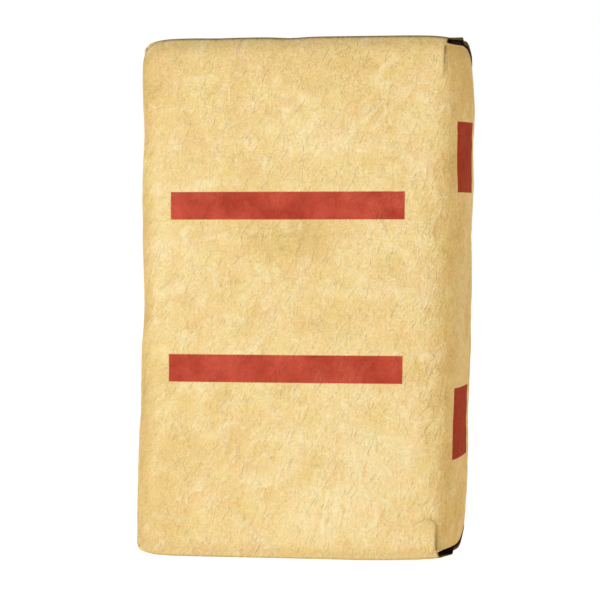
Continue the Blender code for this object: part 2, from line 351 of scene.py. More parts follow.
def pocket_path(end, side):
    """Depth and inset of the end rows on a narrow side: round the tuck's crease, in along the tuck, back out under
    the flaps, and round their edge."""
    q = along_side(side)
    form = POCKETS[end, side]
    tuck, outer = outline(form["tuck"], q), outline(form["outer"], q)
    inner = np.minimum(outline(form["inner"], q), tuck - POCKET_END_GAP)
    reach = TUCK_RADIUS + form["reach"] * np.clip((HALF_DEPTH - np.abs(q)) / POCKET_NARROWING, 0, 1)
    far = (tuck + inner) / 2
    strip = inner - outer
    r = TUCK_RADIUS
    slope = np.sqrt(0.5)
    rows = [(tuck, 0),
            (tuck - r * slope, r * (1 - slope)),
            (tuck - r, r),
            (tuck * (1 - PART_WAY) + far * PART_WAY, PART_WAY * reach + r),
            (far + POCKET_END_GAP / 2, reach),
            (far - POCKET_END_GAP / 2, reach),
            (inner * (1 - PART_WAY) + far * PART_WAY, PART_WAY * reach + r),
            (inner, STRIP_RADIUS),
            (inner - STRIP_FLAT * strip, 0),
            (outer + STRIP_FLAT * strip, 0),
            (outer + STRIP_EDGE * strip, STRIP_RADIUS),
            (outer, 3 * STRIP_RADIUS)]
    return tuple(np.array([row[part] + 0 * q for row in rows]) for part in (0, 1))


# Painted shade in a mouth: how dark its rows are, from the tuck's crease inwards and out to the flaps, and which
# rows take the painted shade of the flaps' strip
MOUTH_DARKNESS = np.array([0.08, 0.44, 0.66, 0.85, 1, 1, 1, 1, 0, 0, 0, 0])[:, None]
STRIP_ROWS = np.array([0, 0, 0, 0, 0, 0, 0, 0, 1, 1, 1, 0.7])[:, None]


def end_rows(end):
    """The points of the end rows, from the wall outwards, and how dark each is."""
    depth, inset = crease_path(end)
    # The painted shade along the end creases, mostly left off about the front left corner
    crease_shading_share = 1 - LIGHTER_SHARE * np.exp(-(along_girth(ring_s, corner_positions(0.0)[3]) / LIGHTER_STRETCH) ** 2)
    everywhere, creased, beside = END_SHADING[end]
    darkness = everywhere + crease_shading_share * (creased * smooth(inset / SHADED_INSET)
                                      + beside * np.exp(-(depth - crease_depth(end)) / BESIDE_SHADING_LENGTH))
    for side in ("right", "left"):
        share = mouth_share(end, side)
        pocket_depth, pocket_inset = pocket_path(end, side)
        depth = depth * (1 - share) + pocket_depth * share
        inset = inset * (1 - share) + pocket_inset * share
        darkness = darkness * (1 - share) + (MOUTH_DARKNESS + POCKETS[end, side]["dark"] * STRIP_ROWS) * share
    z = from_end(end, depth)
    x, y = wall_point(ring_s, z)
    along = along_wall(ring_s, from_end(end, 0))
    return np.stack([x - along[1] * inset, y + along[0] * inset, z], axis=-1), darkness


bottom_rows, bottom_darkness = (rows[::-1] for rows in end_rows("bottom"))
top_rows, top_darkness = end_rows("top")

# The wall between the end rows, in even steps
WALL_ROWS = 194
climb = np.linspace(0, 1, WALL_ROWS + 1)[1:-1, None]
wall_z = bottom_rows[-1, :, 2] + climb * (top_rows[0, :, 2] - bottom_rows[-1, :, 2])
wall = np.stack([*wall_point(ring_s, wall_z), wall_z], axis=-1)


# Creases and bulges of the filled paper. Paper places are metres of girth from the middle of the front, to the
# right, and metres of height. Hills and crumples: cell round and up, lean, rise.
HILLS = ((0.150, 0.190, 0.0, 0.0016), (0.070, 0.090, 0.2, 0.0009), (0.032, 0.046, 0.3, 0.0004))
CRUMPLES = ((0.040, 0.060, 0.35, 0.0006), (0.019, 0.034, 0.45, 0.0003), (0.011, 0.020, 0.5, 0.00014))
# The second set of hills in a crumple: cells and lean as shares of the first's, offset, and the slope of both
CRUMPLE_CELLS = (1.3, 1.2)
CRUMPLE_LEAN, CRUMPLE_OFFSET, CRUMPLE_SLOPE = -0.3, 0.12, 2.2
# A crease: width, curve, depth and place of its valley as shares of its ridge and width, and how far these vary
CREASE_WIDTH = 0.0021
CREASE_CURVE = 0.9
VALLEY_DEPTH, VALLEY_PLACE = 0.7, 1.6
LENGTH_RANGE, STRENGTH_RANGE, WIDTH_RANGE = (0.5, 1.5), (0.4, 1.3), (0.9, 1.5)
# Groups of creases: middle, spread, number, direction from level and its spread in degrees, length, depth
CREASE_GROUPS = (
    ((0.0, 0.32), (0.3, 0.19), 620, (66, 24), 0.02, 0.0003),
    ((0.12, 0.565), (0.02, 0.022), 26, (58, 14), 0.022, 0.0007),
    ((-0.16, 0.42), (0.022, 0.11), 40, (70, 22), 0.02, 0.00038),
    ((-0.03, 0.085), (0.022, 0.028), 20, (62, 20), 0.024, 0.0009),
    ((0.062, 0.075), (0.014, 0.045), 18, (84, 10), 0.034, 0.00095),
    ((0.125, 0.06), (0.03, 0.04), 26, (68, 22), 0.024, 0.0007),
    ((0.255, 0.555), (0.02, 0.03), 10, (100, 30), 0.022, 0.00045),
    ((0.255, 0.3), (0.035, 0.16), 60, (92, 22), 0.026, 0.00035),
    ((-0.255, 0.3), (0.035, 0.17), 60, (88, 22), 0.026, 0.00035),
    ((0.5, 0.32), (0.12, 0.18), 160, (112, 26), 0.022, 0.00035),
    ((-0.5, 0.32), (0.12, 0.18), 160, (66, 26), 0.022, 0.00035),
    ((-0.06, 0.385), (0.045, 0.01), 16, (3, 5), 0.05, 0.00035),
)
# Patches of pale dust, or of painted shade if the strength is below 0: place, half widths across and up, strength
TONE_PATCHES = ((0.01, 0.512, 0.042, 0.026, 0.3), (-0.17, 0.392, 0.022, 0.034, 0.4),
                (0.058, 0.065, 0.06, 0.044, 0.9), (0.036, 0.145, 0.046, 0.024, 0.8),
                (0.11, 0.385, 0.034, 0.016, 0.4), (-0.11, 0.11, 0.04, 0.03, 0.1),
                (0.12, 0.125, 0.055, 0.045, 0.6), (0.006, 0.394, 0.058, 0.032, -1.8),
                (-0.18, 0.585, 0.045, 0.05, -1.3), (0.000, 0.605, 0.23, 0.04, -0.5),
                (-0.04, 0.48, 0.06, 0.026, -0.6), (-0.165, 0.07, 0.05, 0.07, -0.9),
                (-0.2, 0.33, 0.016, 0.4, -1.3), (0.196, 0.32, 0.014, 0.3, -0.9),
                (0.255, 0.595, 0.045, 0.04, -1.5), (0.245, 0.055, 0.045, 0.045, -1.3))
# A bulge like a thumb at the lower right of the front: middle of its round top, half width, lean, rise, edge
THUMB_TOP = (0.1734, 0.0395)
THUMB_HALF_WIDTH, THUMB_LEAN = 0.0130, -0.07
THUMB_RISE, THUMB_EDGE = 0.0026, 0.0026
# How far from the end rows the relief is there in full, and the fold
RELIEF_FADE, FOLD_END_FADE = 0.013, 0.004
# The pasted seam: width of its lap, its rise, and the width of the painted shade at its foot
SEAM_LAP, SEAM_RISE, SEAM_SHADE = 0.030, 0.0007, 0.0024
# The pinched fold beside the front right corner: how far and over what length it strays on to the front, where it
# starts and ends and the part over which it dies out, the rise of its lip and its half widths on the front and the
# side, how far the paper beyond it falls back, and over what length that comes back
FOLD_STRAY, FOLD_STRAY_LENGTH = 0.0064, 0.008
FOLD_START, FOLD_REACH, FOLD_FADE = 0.002, 0.060, 0.7
FOLD_RISE, FOLD_HALF_WIDTHS = 0.0007, (0.00308, 0.00088)
FOLD_FALL = 0.0034
FOLD_LEAST_STRAY = 0.001
FOLD_RETURN = 0.012
# Painted shade beside the fold, in two bands: strength, distance beyond the fold's line, half width
FOLD_SHADE = ((0.36, 0.0012, 0.0014), (0.10, 0.0040, 0.0050))
# Dents: place, half widths across and up, depth
DENTS = ((-0.2, 0.52, 0.035, 0.028, 0.0018), (-0.205, 0.315, 0.035, 0.03, 0.0024),
         (-0.2, 0.59, 0.03, 0.03, -0.001), (-0.2, 0.45, 0.03, 0.03, -0.0008),
         (0.245, 0.35, 0.045, 0.09, 0.002), (0.285, 0.556, 0.045, 0.046, -0.005),
         (0.29, 0.395, 0.05, 0.035, 0.0024))

rng = np.random.default_rng(50)


def hills(s, h, cell_s, cell_h, lean):
    """Smooth random hills from -1 to 1: random heights on a lattice of cells that leans to the right, joined by
    smooth steps. The lattice closes round the girth."""
    around = round(GIRTH / cell_s)
    lattice = rng.uniform(-1, 1, (int(HEIGHT / cell_h) + 3, around))
    a = ((s - lean * h) % GIRTH) / GIRTH * around
    b = np.clip(h, 0, HEIGHT) / cell_h
    i = np.floor(a).astype(int) % around
    j = np.floor(b).astype(int)
    across = smooth(a - np.floor(a))
    up = smooth(b - j)
    following = (i + 1) % around
    low = lattice[j, i] * (1 - across) + lattice[j, following] * across
    high = lattice[j + 1, i] * (1 - across) + lattice[j + 1, following] * across
    return low * (1 - up) + high * up


def crumple(s, h, cell_s, cell_h, lean):
    """Facets between creases: two sets of hills, each folded along its zero line, from -1 to 1."""
    first = np.abs(hills(s, h, cell_s, cell_h, lean))
    second = np.abs(hills(s, h, cell_s * CRUMPLE_CELLS[0], cell_h * CRUMPLE_CELLS[1], CRUMPLE_LEAN * lean))
    return 1 - CRUMPLE_SLOPE * np.minimum(first, second + CRUMPLE_OFFSET)


def crease(s, h, place, degrees, length, width):
    """One crease: a ridge beside a valley across it, and a parabola along it."""
    turn = np.radians(degrees)
    along = (s - place[0]) * np.cos(turn) + (h - place[1]) * np.sin(turn)
    across = (h - place[1]) * np.cos(turn) - (s - place[0]) * np.sin(turn)
    along += CREASE_CURVE * across ** 2 / length
    step = across / width
    return (np.clip(1 - (2 * along / length) ** 2, 0, 1)
            * (np.exp(-step ** 2) - VALLEY_DEPTH * np.exp(-(step - VALLEY_PLACE) ** 2)))


def creases(s, h):
    """The sum of all creases. Each is worked out only on the grid lines near it."""
    relief = np.zeros_like(h)
    line_s, line_h = s[0], h[:, s.shape[1] // 2]
    for middle, spread, number, (degrees, turn), length, depth in CREASE_GROUPS:
        for _ in range(number):
            place = np.array(middle) + rng.normal(0, 1, 2) * spread
            size = length * rng.uniform(*LENGTH_RANGE)
            bearing = degrees + rng.normal(0, turn)
            strength = depth * rng.uniform(*STRENGTH_RANGE) * rng.choice((-1, 1))
            width = CREASE_WIDTH * rng.uniform(*WIDTH_RANGE)
            rows = np.flatnonzero(np.abs(line_h - place[1]) < size)
            columns = np.flatnonzero(np.abs(along_girth(line_s, place[0])) < size)
            near = np.ix_(rows, columns)
            if rows.size and columns.size:
                relief[near] += strength * crease(place[0] + along_girth(s[near], place[0]), h[near], place, bearing,
                                                  size, width)
    return relief


def thumb(s, h):
    """The thumb-like bulge: level inside a round-topped outline that falls off sharply at its edge."""
    below = np.minimum(h - THUMB_TOP[1], 0)
    above = np.maximum(h - THUMB_TOP[1], 0)
    from_middle = np.hypot(s - THUMB_TOP[0] - THUMB_LEAN * below, above)
    return THUMB_RISE * smooth((THUMB_HALF_WIDTH - from_middle) / THUMB_EDGE / 2 + 0.5)


def fold_across(s, h):
    """The distance across the pinched fold towards the side, how far the fold has strayed, which grows
    exponentially, and how strong it is there."""
    depth = np.minimum(h, HEIGHT - h)
    stray = FOLD_STRAY * (1 - np.exp(-np.maximum(depth - FOLD_START, 0) / FOLD_STRAY_LENGTH))
    return s - END_WIDTH / 2 + stray, stray, smooth((FOLD_REACH - depth) / FOLD_REACH / FOLD_FADE)


def fold(s, h):
    """The pinched fold: a rounded lip along its line, and beyond it a straight fall to the corner."""
    across, stray, strength = fold_across(s, h)
    lip = np.exp(-(across / np.where(across < 0, *FOLD_HALF_WIDTHS)) ** 2)
    fall = np.clip(across / np.maximum(stray, FOLD_LEAST_STRAY), 0, 1)
    fall *= np.exp(-np.maximum(across - stray, 0) / FOLD_RETURN)
    return strength * (FOLD_RISE * lip - FOLD_FALL * stray / FOLD_STRAY * fall)


def fold_darkness(s, h):
    """Painted shade in the fold, in bands beyond its line."""
    across, _, strength = fold_across(s, h)
    return strength * sum(dust_and_shade * np.exp(-((across - place) / half_width) ** 2) for dust_and_shade, place, half_width in FOLD_SHADE)


def bells(s, h, places):
    """The sum of wide rises, each a bell curve in both directions."""
    return sum(rise * np.exp(-(along_girth(s, place_s) / wide) ** 2 - ((h - place_h) / tall) ** 2)
               for place_s, place_h, wide, tall, rise in places)


def outward(points):
    """Unit normals of a ring grid, from its neighbouring rows and columns."""
    wrapped = np.concatenate([points[:, -2:-1], points, points[:, 1:2]], axis=1)
    across = wrapped[:, 2:] - wrapped[:, :-2]
    up = np.gradient(points, axis=0)
    normal = np.cross(across, up)
    return normal / np.linalg.norm(normal, axis=-1, keepdims=True)


# How far the paper stands out from the smooth wall: its broad forms with the seam, its fine creasing, and the fold
paper_s = ring_s[None, :] + 0 * wall_z
coarse = sum(rise * hills(paper_s, wall_z, *cells, lean) for *cells, lean, rise in HILLS)
fine = sum(rise * crumple(paper_s, wall_z, *cells, lean) for *cells, lean, rise in CRUMPLES)
fine += creases(paper_s, wall_z)
seam_edge = smooth((paper_s - GIRTH / 2 + SEAM_LAP) / SEAM_LAP) * smooth((GIRTH / 2 - paper_s) / SEAM_STEP)
coarse += thumb(paper_s, wall_z) - bells(paper_s, wall_z, DENTS) + SEAM_RISE * seam_edge
from_rows = {"bottom": wall_z - bottom_rows[-1, :, 2], "top": top_rows[0, :, 2] - wall_z}
edge_distance = np.minimum(from_rows["bottom"], from_rows["top"])
fade = smooth(edge_distance / RELIEF_FADE)
fine *= fade
stands_out = coarse * fade + fine + fold(paper_s, wall_z) * smooth(edge_distance / FOLD_END_FADE)
wall = wall + outward(wall) * stands_out[..., None]
ring = np.concatenate([bottom_rows, wall, top_rows])
# Painted shade on the wall near both ends, dying away from them
wall_end_shading = sum(END_SHADING[end][0] * np.exp(-away / END_SHADING_LENGTH) for end, away in from_rows.items())
darkness = np.concatenate([bottom_darkness, fold_darkness(paper_s, wall_z) + wall_end_shading, top_darkness])

# The flat ends. Between its four edges an end is level, apart from the step at the free edge of the front flap,
# where a dark line of painted shade lies, and each edge's own shape dies away inwards.
LAP_THICKNESS = 0.0016
LAP_SHADE, LAP_SHADE_LENGTH = 0.30, 0.0012
EDGE_FADE = 0.020
END_UNEVEN = 0.0009
END_CELLS = (0.06, 0.05)


def edge_weight(places, length):
    """The weight of the edge at place 0: 1 there, and down to 0 at the opposite edge, exponentially."""
    at_far_edge = np.exp(-length / EDGE_FADE)
    return (np.exp(-places / EDGE_FADE) - at_far_edge) / (1 - at_far_edge)


def between_edges(front, back, left, right, u, v, u2, v2):
    """A surface between four edges: the front and back ones by weights v and v2, the left and right ones by u and
    u2, less the corners, which both count."""
    return (v * front + v2 * back + u * left + u2 * right
            - u * v * front[:, :1] - u2 * v * front[:, -1:] - u * v2 * back[:, :1] - u2 * v2 * back[:, -1:])


def end_grid(end):
    """The points of an end, as rows from front to back, columns from left to right, and coordinates."""
    loop = ring[-1] if end == "top" else ring[0]
    front, back = loop[front_columns][None, :], loop[back_columns][None, :]
    left, right = loop[left_columns][:, None], loop[right_columns][:, None]
    u = (face_places / END_WIDTH)[None, :, None]
    v = (side_places / END_DEPTH)[:, None, None]
    grid = between_edges(front, back, left, right, 1 - u, 1 - v, u, v)
    behind = smooth((side_places - HALF_DEPTH - LAP_Y[end]) / LAP_STEP + 0.5)[:, None]
    depth = LAP_THICKNESS * behind + 0 * grid[..., 0]
    if end == "top":
        depth += END_UNEVEN * (1 + hills(grid[..., 0] + GIRTH / 2, grid[..., 1] + HALF_DEPTH, *END_CELLS, 0)) / 2
    else:
        depth += right_lift(grid[..., 0])
    edges = [from_end(end, edge[..., 2]) - own for edge, own in
             zip((front, back, left, right), (depth[:1], depth[-1:], depth[:, :1], depth[:, -1:]))]
    weight_u = edge_weight(face_places, END_WIDTH)[None, :]
    weight_v = edge_weight(side_places, END_DEPTH)[:, None]
    depth = depth + between_edges(*edges, weight_u, weight_v, weight_u[:, ::-1], weight_v[::-1])
    grid[..., 2] = from_end(end, depth)
    return grid


def lap_darkness(end, grid):
    """Painted shade against the free edge of the front flap: most at its foot, gone a few millimetres behind it."""
    behind = side_places - HALF_DEPTH - LAP_Y[end]
    return LAP_SHADE * np.where(behind > 0, np.exp(-behind / LAP_SHADE_LENGTH), 0)[:, None] + 0 * grid[..., 0]


def quads(rows, columns, first):
    """Corner numbers of the quads of a grid, so that they face the side from which rows go up and columns right."""
    index = first + np.arange(rows * columns).reshape(rows, columns)
    return np.stack([index[:-1, :-1], index[:-1, 1:], index[1:, 1:], index[1:, :-1]], axis=-1).reshape(-1, 4)


MERGE_DISTANCE = 1e-7


def joined_grids(name, grids):
    """A closed mesh of grids whose edges meet. Each grid is its points, paper places, creasing and darkness, in an
    order that makes its faces point out."""
    parts, faces_of, first = [], [], 0
    for grid in grids:
        rows, columns = grid[0].shape[:2]
        faces_of.append(quads(rows, columns, first))
        parts.append([part.reshape(rows * columns, -1) for part in grid])
        first += rows * columns
    points, paper, creased, dark = (np.concatenate(part) for part in zip(*parts))
    faces_of = np.concatenate(faces_of)
    mesh = bpy.data.meshes.new(name)
    mesh.from_pydata(points.tolist(), [], faces_of.tolist())
    mesh.uv_layers.new(name="paper").data.foreach_set("uv", paper[faces_of.reshape(-1)].astype(np.float32).ravel())
    for attribute, values in (("creasing", creased), ("darkness", dark)):
        mesh.attributes.new(attribute, "FLOAT", "POINT").data.foreach_set("value", values.astype(np.float32).ravel())
    build = bmesh.new()
    build.from_mesh(mesh)
    bmesh.ops.remove_doubles(build, verts=build.verts[:], dist=MERGE_DISTANCE)
    bmesh.ops.dissolve_degenerate(build, edges=build.edges[:], dist=MERGE_DISTANCE)
    build.to_mesh(mesh)
    build.free()
    mesh.shade_smooth()
    return mesh


def piece(name, mesh, material):
    """A new object at the origin that rides with the bag."""
    obj = new_object(name, mesh)
    mesh.materials.append(material)
    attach(obj, "root")
    return obj


ring_v = ring[..., 2].copy()
top_run = np.linalg.norm(np.diff(top_rows, axis=0), axis=-1).cumsum(axis=0)
bottom_run = np.linalg.norm(np.diff(bottom_rows[::-1], axis=0), axis=-1).cumsum(axis=0)[::-1]
ring_v[1 - END_ROWS:] = ring_v[-END_ROWS] + top_run
ring_v[:END_ROWS - 1] = ring_v[END_ROWS - 1] - bottom_run
ring_uv = np.stack([ring_s[None, :] + 0 * ring_v, ring_v], axis=-1)
# The creasing attribute: the fine relief in millimetres and the tone patches, which the kraft paints paler and darker,
# partly as painted highlight and shade
creasing = np.zeros(ring.shape[:2])
creasing[END_ROWS:-END_ROWS] = fine / MM + bells(paper_s, wall_z, TONE_PATCHES)
top, bottom = end_grid("top"), end_grid("bottom")
top_uv = np.stack([top[..., 0], HEIGHT + top[..., 1] + HALF_DEPTH], axis=-1)
bottom_uv = np.stack([bottom[..., 0], -bottom[..., 1] - HALF_DEPTH], axis=-1)
sack_mesh = joined_grids("sack_paper", [
    (ring, ring_uv, creasing, darkness),
    (top, top_uv, 0 * top[..., 0], lap_darkness("top", top)),
    (bottom[::-1], bottom_uv[::-1], 0 * bottom[..., 0], lap_darkness("bottom", bottom)[::-1])])


def linear(hex_colour):
    """A linear colour from an sRGB hex value, by the sRGB curve."""
    srgb = np.array([int(hex_colour[i:i + 2], 16) for i in (1, 3, 5)]) / 255
    return (*np.where(srgb <= 0.04045, srgb / 12.92, ((srgb + 0.055) / 1.055) ** 2.4), 1.0)


def feed(node, inputs):
    """Sets a node's inputs, which are pairs of a name or number, and a socket, a hex colour or another value."""
    for name, value in inputs:
        if isinstance(value, bpy.types.NodeSocket):
            value.id_data.links.new(node.inputs[name], value)
        else:
            node.inputs[name].default_value = linear(value) if isinstance(value, str) else value


def add_node(kind, inputs=(), tree=None, **settings):
    """Adds a node to a tree, or else to the tree of the sockets that feed it."""
    inputs = list(inputs)
    tree = tree or next(value.id_data for _, value in inputs if isinstance(value, bpy.types.NodeSocket))
    node = tree.nodes.new("ShaderNode" + kind)
    for name, value in settings.items():
        setattr(node, name, value)
    feed(node, inputs)
    return node


def new_material(name):
    """A material, its tree and its shader."""
    material = bpy.data.materials.new(name)
    material.use_nodes = True
    return material, material.node_tree, material.node_tree.nodes["Principled BSDF"]


# Sack kraft: unbleached pine pulp, machine finished and creased by the fill. It is matt, and its fibres make it
# cloudy. Its ridges are painted paler and its valleys darker, partly as wear and partly as painted highlight and shade.
KRAFT_MID, KRAFT_WARM, KRAFT_DARK, KRAFT_PALE = "#E3BC6D", "#E5B871", "#BF954A", "#F7DFA4"
# Colours of the painted shade that the darkness attribute lays on
PAINTED_SHADE_BROWN, PAINTED_SHADE_DARK = "#4E4124", "#3A2010"
KRAFT_ROUGHNESS, KRAFT_IOR, KRAFT_SPECULAR = 0.74, 1.35, 0.06
# Noise patterns, by size, detail, roughness and distortion: clouds of pulp, pale spots, patches, creping from the
# drying, and bundles of fibres, which run up the sack
PATTERNS = {"cloud": (0.045, 3.0, 0.6), "pale": (0.026, 2.0, 0.6), "patch": (0.016, 2.0, 0.5, 0.6),
            "crepe": (0.0030, 3.0, 0.66, 0.5), "fibre": (0.0014, 2.0, 0.5)}
FIBRE_STRETCH = (1.0, 0.35, 1.0)
# Small creases lean to the right, nearly twice as long as they are wide, and stray a little from straight. Each has
# a pale ridge, partly wear and partly painted highlight, and beside it, always on the same side, a darker valley line
# of painted shade.
CREASE_TILT = np.radians(-26)
CREASE_STRETCH = (1.0, 1.9, 1.0)
CREASE_STRAY = 0.0045
STRAY_SCALE = 55.0
VALLEY_OFFSET = (-0.0010, 0.0001, 0)
VALLEY_SHARE = 0.6
# Sets of creases: size of the cells between them, width, strength. Larger noise shows them.
CREASE_SETS = ((0.0160, 0.0010, 1.0), (0.0075, 0.0008, 0.9))
CREASES_SHOW = (0.42, 0.62)
# Facets between the creases: size, and rise in the bump. Larger noise takes them from one share of it to another.
FACETS = ((0.0100, 1.9), (0.0048, 1.3))
FACET_PATCH = 5.0
FACETS_SHOW = (0.36, 0.66, 0.25, 1.0)
# Weights in the relief that shades the colour, less what plain paper has, and in the bump
RELIEF_WEIGHTS = (("creasing", 0.40), ("crepe", 1.6), ("patch", 0.5), ("lines", 0.80))
PLAIN_RELIEF = 1.05
BUMP_WEIGHTS = (("crepe", 1.00), ("fibre", 0.08), ("lines", 0.40), ("thumb", 0.9), ("patch", 0.9))
BUMP_DISTANCE = 0.0015
THUMB_BUMP_EDGE = 0.0014
# The line of painted shade round the thumb-like bulge: how far outside it, from and to what half width it grows to
# full strength, and between what heights
THUMB_SHADE_OUT, THUMB_SHADE, THUMB_SHADE_FROM = 0.0010, (0.0012, 0.0002), (0.012, 0.030)

# Flexographic red ink, printed twice round the tube, so that the back is like the front. A pair of bars is its middle
# along the girth, its half width, the height midway between the bars, how far the middle of each lies from that, and
# their half height. The lower side bar lies a little askew.
# The bars on the narrow sides take a darker copy of the red ink, which is painted shade of those sides
RED_INK, RED_INK_DARK, SHADED_SIDE_INK = "#C44D34", "#A93A24", "#9E3518"
FRONT_BARS = (-0.0065, 0.1485, 0.3323, 0.0996, 0.0170)
SIDE_BARS = (0.2454, 0.0328, 0.3296, 0.1613, 0.0431)
SIDE_BARS_ASKEW = 0.14
INK_EDGE = 0.0005
# Wear of the ink on the ridges: the relief where it starts and where it is most, and the ink left at both
INK_WEAR = (0.3, 1.3, 1.0, 0.9)

# Colours laid one over another, each up to a share as a pattern runs from one value to another. The relief is painted
# paler on ridges and darker in valleys, partly as wear and partly as painted highlight and shade. The line round the
# thumb and the line at the seam's foot are painted shade.
KRAFT_TINTS = (("cloud", 0.36, 0.66, 1.0, KRAFT_WARM), ("pale", 0.56, 0.68, 0.30, KRAFT_PALE),
               ("relief", 0.0, 0.75, 0.55, KRAFT_PALE), ("relief", 0.0, -0.75, 0.55, KRAFT_DARK),
               ("fibre", 0.40, 0.72, 0.14, KRAFT_PALE), ("thumb shade", 0.0, 1.0, 0.20, KRAFT_DARK),
               ("seam", SEAM_SHADE - GIRTH / 2, -GIRTH / 2, 0.45, KRAFT_DARK))
INK_TINTS = (("cloud", 0.36, 0.64, 1.0, RED_INK_DARK), ("side bars", 0.002, 0.001, 0.8, SHADED_SIDE_INK))
# The darkness attribute paints shade, in brown and then near black
SHADE_TINTS = (("darkness", 0.0, 0.65, 1.0, PAINTED_SHADE_BROWN), ("darkness", 0.55, 1.0, 1.0, PAINTED_SHADE_DARK))


def maths(operation, *values):
    """A Math node's output, from numbers or sockets."""
    return add_node("Math", enumerate(values), operation=operation).outputs[0]


def blend_colours(share, first, second):
    """Mixes two colours by a share."""
    return add_node("Mix", ((0, share), (6, first), (7, second)), data_type="RGBA").outputs[2]


def noise(place, size, detail=3.0, rough=0.55, distortion=0.0):
    """Noise whose coarsest features are about the given size in metres."""
    return add_node("TexNoise", (("Vector", place), ("Scale", 1 / size), ("Detail", detail), ("Roughness", rough),
                                 ("Distortion", distortion))).outputs["Fac"]


def ramp(value, low, high, to_low=0.0, to_high=1.0):
    """A straight run from one value to another between two input values, level beyond them."""
    return add_node("MapRange", enumerate((value, low, high, to_low, to_high))).outputs[0]


def laid_over(tint, patterns, rows):
    """A tint with the colours of a table's rows laid over it in turn."""
    for name, low, high, share, colour in rows:
        tint = blend_colours(ramp(patterns[name], low, high, 0.0, share), tint, colour)
    return tint


def weighted(patterns, weights):
    """The sum of patterns, each times its weight."""
    total = 0.0
    for name, weight in weights:
        total = maths("ADD", total, maths("MULTIPLY", patterns[name], weight))
    return total


def distance_from(value, place):
    """How far a value is from a place, either way."""
    return maths("ABSOLUTE", maths("SUBTRACT", value, place))


def bar_distance(along, height, bars, askew=0.0):
    """How far a place lies outside a pair of bars, below 0 inside. Both are folded on to one bar, first by the
    half girth and then about the height midway between them. The lower bar may lie a little askew."""
    middle, half_width, mid_height, offset, half_height = bars
    around = maths("FLOORED_MODULO", maths("ADD", along, GIRTH / 4 - middle), GIRTH / 2)
    across = maths("SUBTRACT", around, GIRTH / 4)
    if askew:
        turn = ramp(height, mid_height, 0.0, 0.0, -askew)
        height = maths("ADD", height, maths("MULTIPLY", turn, across))
    up = maths("SUBTRACT", distance_from(distance_from(height, mid_height), offset), half_height)
    return maths("MAXIMUM", maths("SUBTRACT", maths("ABSOLUTE", across), half_width), up)


def thumb_distance(along, height):
    """How far a place lies outside the outline of the thumb-like bulge, below 0 inside."""
    above = maths("SUBTRACT", height, THUMB_TOP[1])
    middle = maths("MULTIPLY_ADD", maths("MINIMUM", above, 0.0), THUMB_LEAN, THUMB_TOP[0])
    across = maths("SUBTRACT", along, middle)
    over_top = maths("MAXIMUM", above, 0.0)
    squares = maths("ADD", maths("POWER", across, 2.0), maths("POWER", over_top, 2.0))
    return maths("SUBTRACT", maths("SQRT", squares), THUMB_HALF_WIDTH)


def crease_lines(paper, leaning):
    """The small creases: up to 1 on a ridge, and below 0 in a valley. They run along the borders of long cells."""
    beside = add_node("VectorMath", ((0, leaning), (1, VALLEY_OFFSET)), operation="ADD").outputs[0]
    sets = []
    for size, line_width, strength in CREASE_SETS:
        shown = ramp(noise(paper, 2.0 * size, 1.0), *CREASES_SHOW, 0.0, strength)
        borders = [add_node("TexVoronoi", (("Vector", place), ("Scale", 1 / size)), feature="DISTANCE_TO_EDGE")
                   .outputs["Distance"] for place in (leaning, beside)]
        sets.append([maths("MULTIPLY", ramp(border, line_width / size, 0.0), shown) for border in borders])
    ridges, valleys = (maths("MAXIMUM", *lines) for lines in zip(*sets))
    return maths("SUBTRACT", ridges, maths("MULTIPLY", valleys, VALLEY_SHARE))


